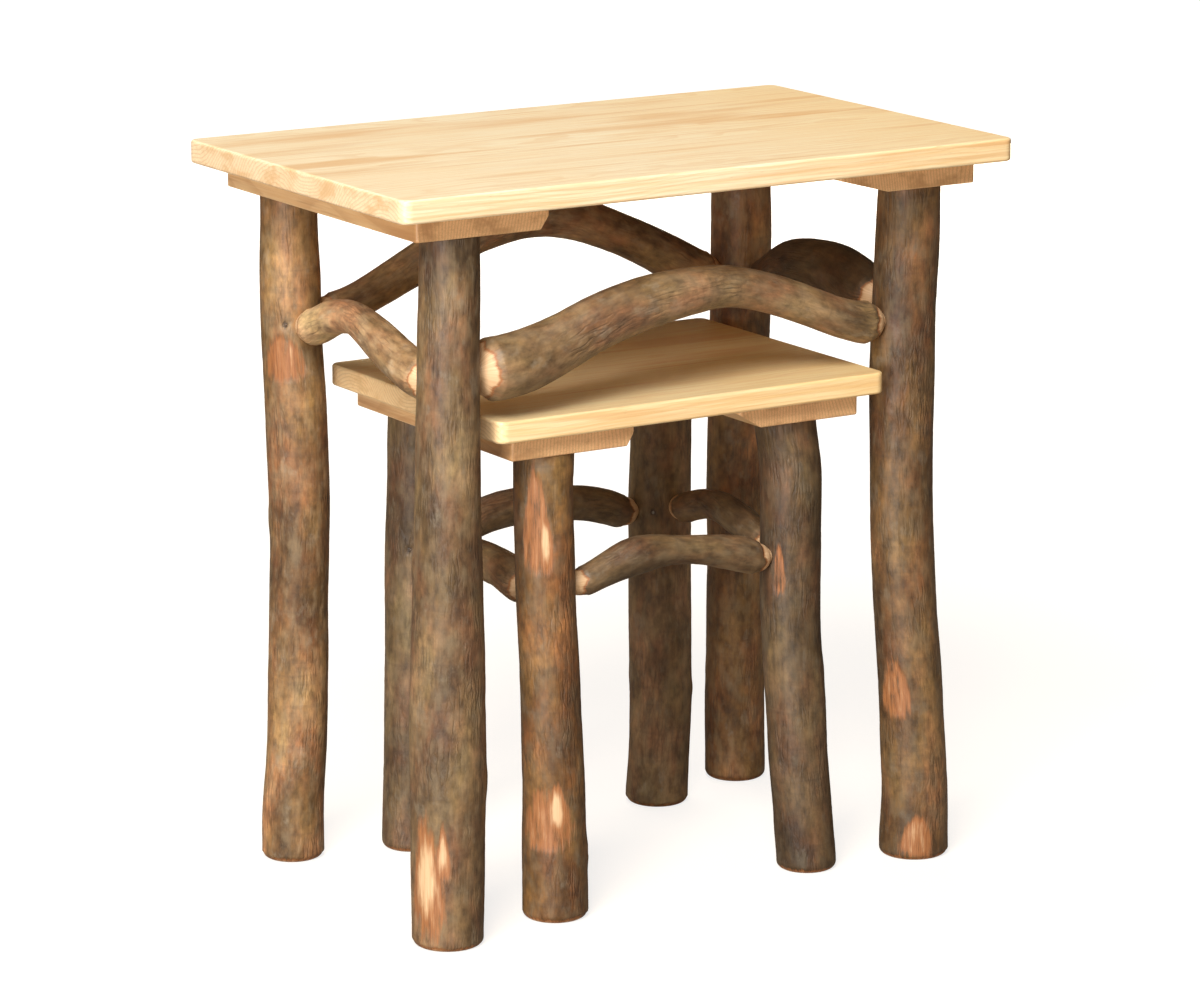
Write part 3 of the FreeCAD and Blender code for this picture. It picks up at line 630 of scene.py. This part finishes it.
def board_material(name, turn, pith, colours, streaks, seed):
    """Planed board with year rings about a pith, long streaks, pores and darker end grain."""
    light, dark, streak = colours
    material, tree, shader = new_material(name)
    turned = (0, 0, math.radians(turn))
    coordinates = add(tree, "ShaderNodeTexCoord").outputs
    vector = add(tree, "ShaderNodeMapping", {"Vector": coordinates["Object"], "Rotation": turned})
    normal = add(tree, "ShaderNodeMapping", {"Vector": coordinates["Normal"], "Rotation": turned},
                 vector_type="NORMAL")
    vector = vector.outputs["Vector"]
    place = add(tree, "ShaderNodeSeparateXYZ", {"Vector": vector})
    facing = add(tree, "ShaderNodeSeparateXYZ", {"Vector": normal.outputs["Vector"]})
    pattern = noises(tree, vector, BOARD_PATTERNS, tuple(seed * step for step in BOARD_SHIFT))
    late = late_wood(tree, place, pith, pattern)
    shade = tuple(SHADE_OF_STREAK * part for part in streak)
    ruddy = tuple(RUDDY_OF_STREAK * part for part in streak)
    sawn = tuple(part * share for part, share in zip(light, SAWN_TINT))

    colour = mixed(tree, band(tree, pattern["fibres"], *FIBRE_BAND), light, dark)
    colour = mixed(tree, times(tree, late, LATE_FACE), colour, streak)
    start, full = (streaks + step for step in HEART_SPREAD)
    colour = laid(tree, colour, pattern["heart"], start, full, HEART_SHARE, streak)
    colour = laid(tree, colour, pattern["thin"], *THREAD_LAYER, streak)
    colour = laid(tree, colour, pattern["blotch"], *BLOTCH_LAYER, dark)
    warmer = tinted(tree, colour, WARM_END)
    colour = mixed(tree, band(tree, place.outputs["X"], *WARM_REACH), colour, warmer)
    colour = laid(tree, colour, pattern["pores"], *PORE_LAYER, shade)

    end = band(tree, maths(tree, "ABSOLUTE", facing.outputs["X"]), *SQUARE_BAND)
    end_colour = mixed(tree, band(tree, pattern["specks"], *SPECK_BAND), sawn, streak)
    end_colour = mixed(tree, times(tree, late, LATE_CUT), end_colour, shade)
    end_colour = laid(tree, end_colour, pattern["knots"], *END_KNOT_LAYER, ruddy)
    colour = mixed(tree, times(tree, end, SAWN_SHARE), colour, end_colour)
    side = band(tree, maths(tree, "ABSOLUTE", facing.outputs["Y"]), *SQUARE_BAND)
    lines = times(tree, side, band(tree, pattern["edge"], *EDGE_BAND))
    colour = mixed(tree, times(tree, lines, EDGE_SHARE), colour, streak)

    height = plus(tree, times(tree, pattern["pores"], PORE_RELIEF), times(tree, late, LATE_RELIEF))
    height = plus(tree, height, times(tree, pattern["fibres"], FIBRE_RELIEF))
    surfaced(tree, shader, colour, height, BOARD_BUMP, pattern["fibres"], BOARD_ROUGHNESS)
    coated(shader, BOARD_COAT)
    return material


def steel_material():
    """Zinc-plated steel with fine scratches."""
    material, tree, shader = new_material("zinc_steel")
    pattern = noises(tree, add(tree, "ShaderNodeTexCoord").outputs["Object"], STEEL_PATTERNS)
    colour = mixed(tree, band(tree, pattern["stains"], *STAIN_BAND), *STEEL_COLOURS)
    surfaced(tree, shader, colour, pattern["scratches"], STEEL_BUMP, pattern["scratches"], STEEL_ROUGHNESS)
    shader.inputs["Metallic"].default_value = 1.0
    return material


def solid_tree(node):
    """Search tree of a node's mesh."""
    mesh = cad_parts[node].data
    return BVHTree.FromPolygons([v.co for v in mesh.vertices], [p.vertices for p in mesh.polygons])


def section(tree, near, direction, right):
    """Centre and radius of a log's round section near a point, from rays that come from outside."""
    above = direction.cross(right)
    hits = []
    for number in range(RAY_COUNT):
        angle = 2 * math.pi * (number + 0.5) / RAY_COUNT
        out = right * math.cos(angle) + above * math.sin(angle)
        hit = tree.ray_cast(near + out * RAY_REACH, -out, RAY_REACH)[0]
        if hit is not None:
            hits.append(((hit - near).dot(right), (hit - near).dot(above)))
    points = np.array(hits)
    for _ in range(FIT_TURNS):
        system = np.column_stack([2 * points, np.ones(len(points))])
        middle = np.linalg.lstsq(system, (points ** 2).sum(1), rcond=None)[0]
        radius = math.sqrt(middle[2] + middle[0] ** 2 + middle[1] ** 2)
        error = abs(np.hypot(*(points - middle[:2]).T) - radius)
        points = points[error < max(FIT_ERROR, np.median(error) * FIT_SPREAD)]
    return near + right * middle[0] + above * middle[1], radius


def smoothed(values):
    """Running mean that keeps the first and last value."""
    reach = SMOOTH_WIDTH // 2
    before = [2 * values[0] - v for v in values[reach:0:-1]]
    after = [2 * values[-1] - v for v in values[-2:-reach - 2:-1]]
    padded = np.concatenate([before, values, after])
    return sum(padded[n:n + len(values)] for n in range(SMOOTH_WIDTH)) / SMOOTH_WIDTH


def leg_line(node):
    """Centres, radii and distances up a leg, measured on its solid."""
    tree = solid_tree(node)
    low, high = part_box(node)
    top = min(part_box(node.split("_")[0] + "_cleat_left")[0].z, high.z)
    heights = [*FOOT_HEIGHTS, *np.arange(FOOT_ROUND, top, RING_STEP), top]
    right = Vector((1, 0, 0))
    near = (low + high) / 2
    measured = []
    for height in heights:
        inside = min(max(height, FOOT_ROUND + END_MARGIN), top - END_MARGIN)
        near, radius = section(tree, Vector((near.x, near.y, inside)), UP, right)
        measured.append((Vector((near.x, near.y, height)), radius))
    centres = smoothed(np.array([place for place, _ in measured]))
    centres[:, 2] = heights
    radii = smoothed(np.array([radius for _, radius in measured])[:, None])[:, 0]
    depth = np.clip(FOOT_ROUND - np.array(heights), 0, FOOT_ROUND)
    radii -= FOOT_ROUND - np.sqrt(FOOT_ROUND ** 2 - depth ** 2)
    return centres, radii, np.array(heights)


def stretcher_line(node):
    """Centres, radii and distances along a stretcher, measured on its solid from tip to tip."""
    tree = solid_tree(node)
    low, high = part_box(node)
    axis = 0 if high.x - low.x > high.y - low.y else 1
    corners = np.array([v.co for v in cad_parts[node].data.vertices])
    tips = [corners[abs(corners[:, axis] - end[axis]) < TIP_REACH].mean(0) for end in (low, high)]
    start, finish = (Vector(tip) for tip in tips)
    level = Vector((finish.x - start.x, finish.y - start.y, 0)).normalized()
    length = (finish - start).dot(level)
    runs = np.linspace(0, length, round(length / RING_STEP) + 1)
    directions = [level] * len(runs)
    turn = np.clip((np.minimum(runs, length - runs) - JOINT_LENGTH) / TURN_LENGTH, 0, 1)
    for _ in range(LINE_TURNS):
        near = start.copy()
        centres, radii = [], []
        for run, direction in zip(runs, directions):
            inside = min(max(run, END_MARGIN), length - END_MARGIN)
            near += level * (inside - (near - start).dot(level))
            near, radius = section(tree, near, direction, UP.cross(direction).normalized())
            centres.append(near + level * (run - inside))
            radii.append(radius)
        centres = smoothed(np.array(centres))
        ways = np.gradient(centres, axis=0)
        ways /= np.linalg.norm(ways, axis=1)[:, None]
        directions = [level.lerp(Vector(way), share).normalized() for way, share in zip(ways, turn)]
    steps = np.linalg.norm(np.diff(centres, axis=0), axis=1)
    return centres, np.array(radii), np.concatenate([[0], np.cumsum(steps)])


def bark_start(radii, along):
    """Distance from a stretcher's tip to where its bark begins, past the tenon and the shoulder."""
    tenon = radii[:TENON_RINGS].mean()
    wide = np.argmax(radii > tenon * TENON_GROWTH)
    return along[wide] + SHOULDER_LENGTH


def nail_holes(node, centres, radii, angles):
    """Marks the places on a leg's skin that lie over the head of a nail set in it."""
    tree = solid_tree(node.split("_")[0] + "_tenon_nails")
    near = np.full((len(centres), len(angles)), NAIL_FAR)
    for i, (centre, radius) in enumerate(zip(centres, radii)):
        for j, angle in enumerate(angles):
            place = Vector(centre) + Vector((math.cos(angle), math.sin(angle), 0)) * radius
            distance = tree.find_nearest(place, NAIL_FAR)[3]
            if distance is not None:
                near[i, j] = distance
    return np.clip((NAIL_FAR - near) / (NAIL_FAR - NAIL_NEAR), 0, 1)


def seeded_places(node, random, length):
    """Knots of a log, and the small bare places on the far side of a leg."""
    is_leg = "_leg_" in node
    knots = []
    for _ in range(random.integers(*(LEG_KNOTS if is_leg else STRETCHER_KNOTS))):
        angle = random.uniform(0, 360)
        middle = random.uniform(*KNOT_PLACE) * length
        knots.append((angle, middle, random.uniform(*KNOT_SIZE)))
    places = []
    for _ in range(random.integers(*BARE_COUNT) if is_leg else 0):
        angle = random.uniform(*BARE_ANGLE)
        size = random.uniform(*BARE_SIZE)
        middle = random.uniform(*BARE_PLACE) * length
        half_height = size * random.uniform(*BARE_LENGTHEN)
        places.append((angle, middle, size, half_height, random.uniform(*BARE_DEPTH)))
    return knots, places


def bark_relief(seed, angles, along, mean):
    """Lumps of a log, and its height with lumps and ridges."""
    x = np.cos(angles) * mean
    y = np.sin(angles) * mean
    lumps = np.empty((len(along), len(angles)))
    ridges = np.empty((len(along), len(angles)))
    for i, distance in enumerate(along):
        for j in range(len(angles)):
            lump = Vector((x[j] * LUMP_AROUND + seed, y[j] * LUMP_AROUND, distance * LUMP_ALONG))
            ridge = Vector((x[j] * RIDGE_AROUND, y[j] * RIDGE_AROUND + seed, distance * RIDGE_ALONG))
            lumps[i, j] = noise.noise(lump)
            ridges[i, j] = noise.fractal(ridge, *RIDGE_FRACTAL)
    return lumps, LUMP_DEPTH * lumps - RIDGE_DEPTH * abs(ridges)


def log_relief(node, seed, angles, along, radii, shoulders):
    """Height of the bark, and how bare and knotty it is, for each point of a log."""
    mean = float(np.median(radii))
    length = along[-1]
    lumps, height = bark_relief(seed, angles, along, mean)
    knots, places = seeded_places(node, np.random.default_rng(seed), length)

    def around(angle):
        """Distances around the log from a compass angle."""
        return np.radians((np.degrees(angles) - angle + 180) % 360 - 180)[None, :] * mean

    bare = np.full(height.shape, -1.0)
    for angle, middle, half_width, half_height, depth in [*PEELED.get(node, ()), *places]:
        up = (along - middle)[:, None] / half_height
        sideways = around(angle) / half_width * (1 + PEEL_SLANT * np.clip(up, -1, 1))
        inside = 1 - np.sqrt(up ** 2 + sideways ** 2)
        bare = np.maximum(bare, np.minimum(inside * PEEL_SLOPE, depth))
    if shoulders:
        waves = [size * np.sin(count * angles + turn * seed) for count, turn, size in SHOULDER_WAVES]
        for end, shoulder in zip((along, length - along), shoulders):
            depth = (shoulder - end)[:, None] / SHOULDER_EDGE
            bare = np.maximum(bare, np.clip(depth + sum(waves)[None, :], -1, 1))
    else:
        rim = (FOOT_ROUND * RIM_HEIGHT - along)[:, None] / FOOT_ROUND + RIM_LUMPS * lumps
        bare = np.maximum(bare, np.clip(rim, -1, RIM_BARE))

    knotty = np.zeros(height.shape)
    for angle, middle, size in knots:
        distance = np.hypot((along - middle)[:, None] * KNOT_LENGTHEN, around(angle)) / size
        knotty = np.maximum(knotty, np.clip(KNOT_REACH - distance, 0, 1))
        swell = np.exp(-distance ** 2 / KNOT_SPREAD) - KNOT_DIP * np.exp(-distance ** 2 / KNOT_DIP_SPREAD)
        height += KNOT_HEIGHT * swell
    peeled = np.clip(bare * PEEL_EDGE, 0, 1)
    height = height * (1 - PEEL_CALM * peeled) - PEEL_DEPTH * peeled
    return height, bare, knotty


def log_mesh(name, centres, radii, along, sides, relief):
    """Closed tube of rings, with rings across its ends, and its coordinates for the bark."""
    height, bare, knotty, holes = relief
    rows, around = height.shape
    angles = np.arange(around) * 2 * math.pi / around
    cosines = np.cos(angles)
    sines = np.sin(angles)
    mean = float(np.median(radii))
    right, above = sides
    out = cosines[None, :, None] * right[:, None, :] + sines[None, :, None] * above[:, None, :]
    reach = radii[:, None] + height
    reach[0] = radii[0]
    points = centres[:, None, :] + out * reach[:, :, None]
    grain = np.empty_like(points)
    grain[:, :, 0] = cosines[None, :] * mean
    grain[:, :, 1] = sines[None, :] * mean
    grain[:, :, 2] = along[:, None]
    marks = np.stack([bare, knotty, holes], axis=2)

    verts = [points.reshape(-1, 3)]
    grains = [grain.reshape(-1, 3)]
    marked = [marks.reshape(-1, 3)]
    cuts = [np.full(rows * around, mean)]
    faces = []
    for i in range(rows - 1):
        for j in range(around):
            k = (j + 1) % around
            faces.append((i * around + j, i * around + k, (i + 1) * around + k, (i + 1) * around + j))
    tube_faces = len(faces)
    total = rows * around
    for row, outward in ((0, False), (rows - 1, True)):
        last = row * around
        for share in (*CUT_RINGS, 0.0):
            size = around if share else 1
            ring = centres[row] + (points[row] - centres[row]) * share
            verts.append(ring[:size])
            grains.append(grain[row, :size] * (share, share, 1))
            marked.append(marks[row, :size])
            cuts.append(np.full(size, radii[row] * share))
            for j in range(around):
                k = (j + 1) % around
                inner = (total + k, total + j) if share else (total,)
                face = (last + j, last + k, *inner)
                faces.append(face if outward else face[::-1])
            last = total
            total += size

    mesh = bpy.data.meshes.new(name)
    mesh.from_pydata(np.concatenate(verts).tolist(), [], faces)
    for title, kind, field, data in (
        ("grain", "FLOAT_VECTOR", "vector", grains),
        ("marks", "FLOAT_VECTOR", "vector", marked),
        ("cut", "FLOAT", "value", cuts),
    ):
        values = np.concatenate(data).astype(np.float32)
        mesh.attributes.new(title, kind, "POINT").data.foreach_set(field, values.ravel())
    mesh.polygons.foreach_set("use_smooth", [True] * len(faces))
    mesh.polygons.foreach_set("material_index", [0] * tube_faces + [1] * (len(faces) - tube_faces))
    mesh.update()
    return mesh


def sides_along(centres):
    """Two directions square to the line at each of its points, the first one level."""
    tangent = np.gradient(centres, axis=0)
    tangent /= np.linalg.norm(tangent, axis=1)[:, None]
    right = np.cross(np.array(UP), tangent)
    right /= np.linalg.norm(right, axis=1)[:, None]
    return right, np.cross(tangent, right)


def make_log(node, seed, cut):
    """Barked log that stands for a leg or a stretcher."""
    is_leg = "_leg_" in node
    if is_leg:
        centres, radii, along = leg_line(node)
        sides = [np.tile(way, (len(along), 1)) for way in ((1.0, 0, 0), (0, 1.0, 0))]
        around = LEG_AROUND
        shoulders = ()
    else:
        centres, radii, along = stretcher_line(node)
        sides = sides_along(centres)
        around = STRETCHER_AROUND
        shoulders = bark_start(radii, along), bark_start(radii[::-1], along[-1] - along[::-1])
    angles = np.arange(around) * 2 * math.pi / around
    height, bare, knotty = log_relief(node, seed, angles, along, radii, shoulders)
    holes = nail_holes(node, centres, radii, angles) if is_leg else np.zeros_like(height)
    relief = height - NAIL_DEPTH * holes, bare, knotty, holes
    mesh = log_mesh(node + "_log", centres, radii, along, sides, relief)
    mesh.materials.append(bark_material(node + "_bark", *BARK[node], seed))
    mesh.materials.append(cut)
    piece = bpy.data.objects.new(node + "_log", mesh)
    bpy.context.scene.collection.objects.link(piece)
    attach(piece, node.split("_")[0] + "_table")
    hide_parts(node)


def wood_finishes():
    """Assigns board finishes to the tops and the cleats."""
    for seed, (node, (pith, streaks)) in enumerate(TOPS.items(), TOP_SEED):
        # The small top's colours carry painted shade
        colours = LARGE_TOP_COLOURS if node.startswith("large") else SMALL_TOP_SHADED_COLOURS
        wood = board_material(node + "_wood", TOP_TURN, pith, colours, streaks, seed)
        paint(node, wood)
    for seed, node in enumerate(CLEATS, CLEAT_SEED):
        low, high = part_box(node)
        pith = (-(low.x + high.x) / 2, low.z - CLEAT_PITH_DEPTH)
        wood = board_material(node + "_wood", CLEAT_TURN, pith, CLEAT_COLOURS, CLEAT_STREAKS, seed)
        paint(node, wood)


def paint(node, material):
    """Gives one CAD node one material."""
    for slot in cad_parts[node].material_slots:
        slot.material = material


def make_floor():
    """Pale floor that is white to the camera and keeps the shadow."""
    bpy.ops.mesh.primitive_plane_add(size=FLOOR_SIZE)
    floor = bpy.context.object
    floor.name = "floor"
    material = bpy.data.materials.new("floor")
    material.use_nodes = True
    tree = material.node_tree
    tree.nodes.clear()
    seen = add(tree, "ShaderNodeLightPath").outputs["Is Camera Ray"]
    place = add(tree, "ShaderNodeTexCoord").outputs["Object"]
    away = add(tree, "ShaderNodeVectorMath", {0: place}, operation="LENGTH").outputs["Value"]
    white = add(tree, "ShaderNodeMapRange", {
        "Value": away, "From Min": GLOW_NEAR, "From Max": GLOW_FAR,
        "To Min": GLOW_LOW, "To Max": GLOW_FULL}, interpolation_type="SMOOTHSTEP")
    strength = times(tree, seen, white.outputs["Result"])
    diffuse = add(tree, "ShaderNodeBsdfDiffuse", {"Color": (*FLOOR_COLOUR, 1)})
    glow = add(tree, "ShaderNodeEmission", {"Color": (*WHITE, 1), "Strength": strength})
    both = add(tree, "ShaderNodeAddShader", {0: diffuse.outputs[0], 1: glow.outputs[0]})
    output = add(tree, "ShaderNodeOutputMaterial")
    tree.links.new(both.outputs[0], output.inputs["Surface"])
    floor.data.materials.append(material)


def make_world():
    """Soft warm light all round, and white behind the object."""
    world = bpy.data.worlds.new("studio")
    bpy.context.scene.world = world
    world.use_nodes = True
    tree = world.node_tree
    tree.nodes.clear()
    seen = add(tree, "ShaderNodeLightPath").outputs["Is Camera Ray"]
    light = add(tree, "ShaderNodeBackground", {"Color": (*AIR_COLOUR, 1), "Strength": AIR_STRENGTH})
    white = add(tree, "ShaderNodeBackground", {"Color": (*WHITE, 1), "Strength": WHITE_STRENGTH})
    mix = add(tree, "ShaderNodeMixShader", {0: seen, 1: light.outputs[0], 2: white.outputs[0]})
    output = add(tree, "ShaderNodeOutputWorld")
    tree.links.new(mix.outputs[0], output.inputs["Surface"])


def make_lamp(name, place, target, size, power, colour, mirrored):
    """Soft square lamp that points at a target, and shows in glossy surfaces or not."""
    data = bpy.data.lights.new(name, "AREA")
    data.shape = "SQUARE"
    data.size = size
    data.energy = power
    data.color = colour
    lamp = bpy.data.objects.new(name, data)
    lamp.location = place
    lamp.rotation_mode = "QUATERNION"
    lamp.rotation_quaternion = (Vector(target) - Vector(place)).to_track_quat("-Z", "Y")
    lamp.visible_glossy = mirrored
    bpy.context.scene.collection.objects.link(lamp)


def make_camera():
    """Camera at the photograph's viewing angle."""
    data = bpy.data.cameras.new("camera")
    data.lens = CAMERA_LENS
    data.sensor_width = CAMERA_SENSOR
    data.clip_end = CAMERA_SIGHT
    camera = bpy.data.objects.new("camera", data)
    level = math.cos(CAMERA_ELEVATION)
    sideways = math.sin(CAMERA_AZIMUTH) * level
    forward = -math.cos(CAMERA_AZIMUTH) * level
    back = Vector((sideways, forward, math.sin(CAMERA_ELEVATION)))
    camera.location = CAMERA_TARGET + back * CAMERA_DISTANCE
    camera.rotation_mode = "QUATERNION"
    camera.rotation_quaternion = (-back).to_track_quat("-Z", "Y")
    bpy.context.scene.collection.objects.link(camera)
    bpy.context.scene.camera = camera


cut = cut_material()
for seed, node in enumerate(BARK, 1):
    make_log(node, seed, cut)
wood_finishes()
steel = steel_material()
for table in ("large", "small"):
    for part in ("cleat_screws", "tenon_nails"):
        paint(table + "_" + part, steel)

make_floor()
make_world()
for name, settings in LAMPS.items():
    make_lamp(name, *settings)
make_camera()
bpy.context.scene.view_settings.view_transform = "Standard"
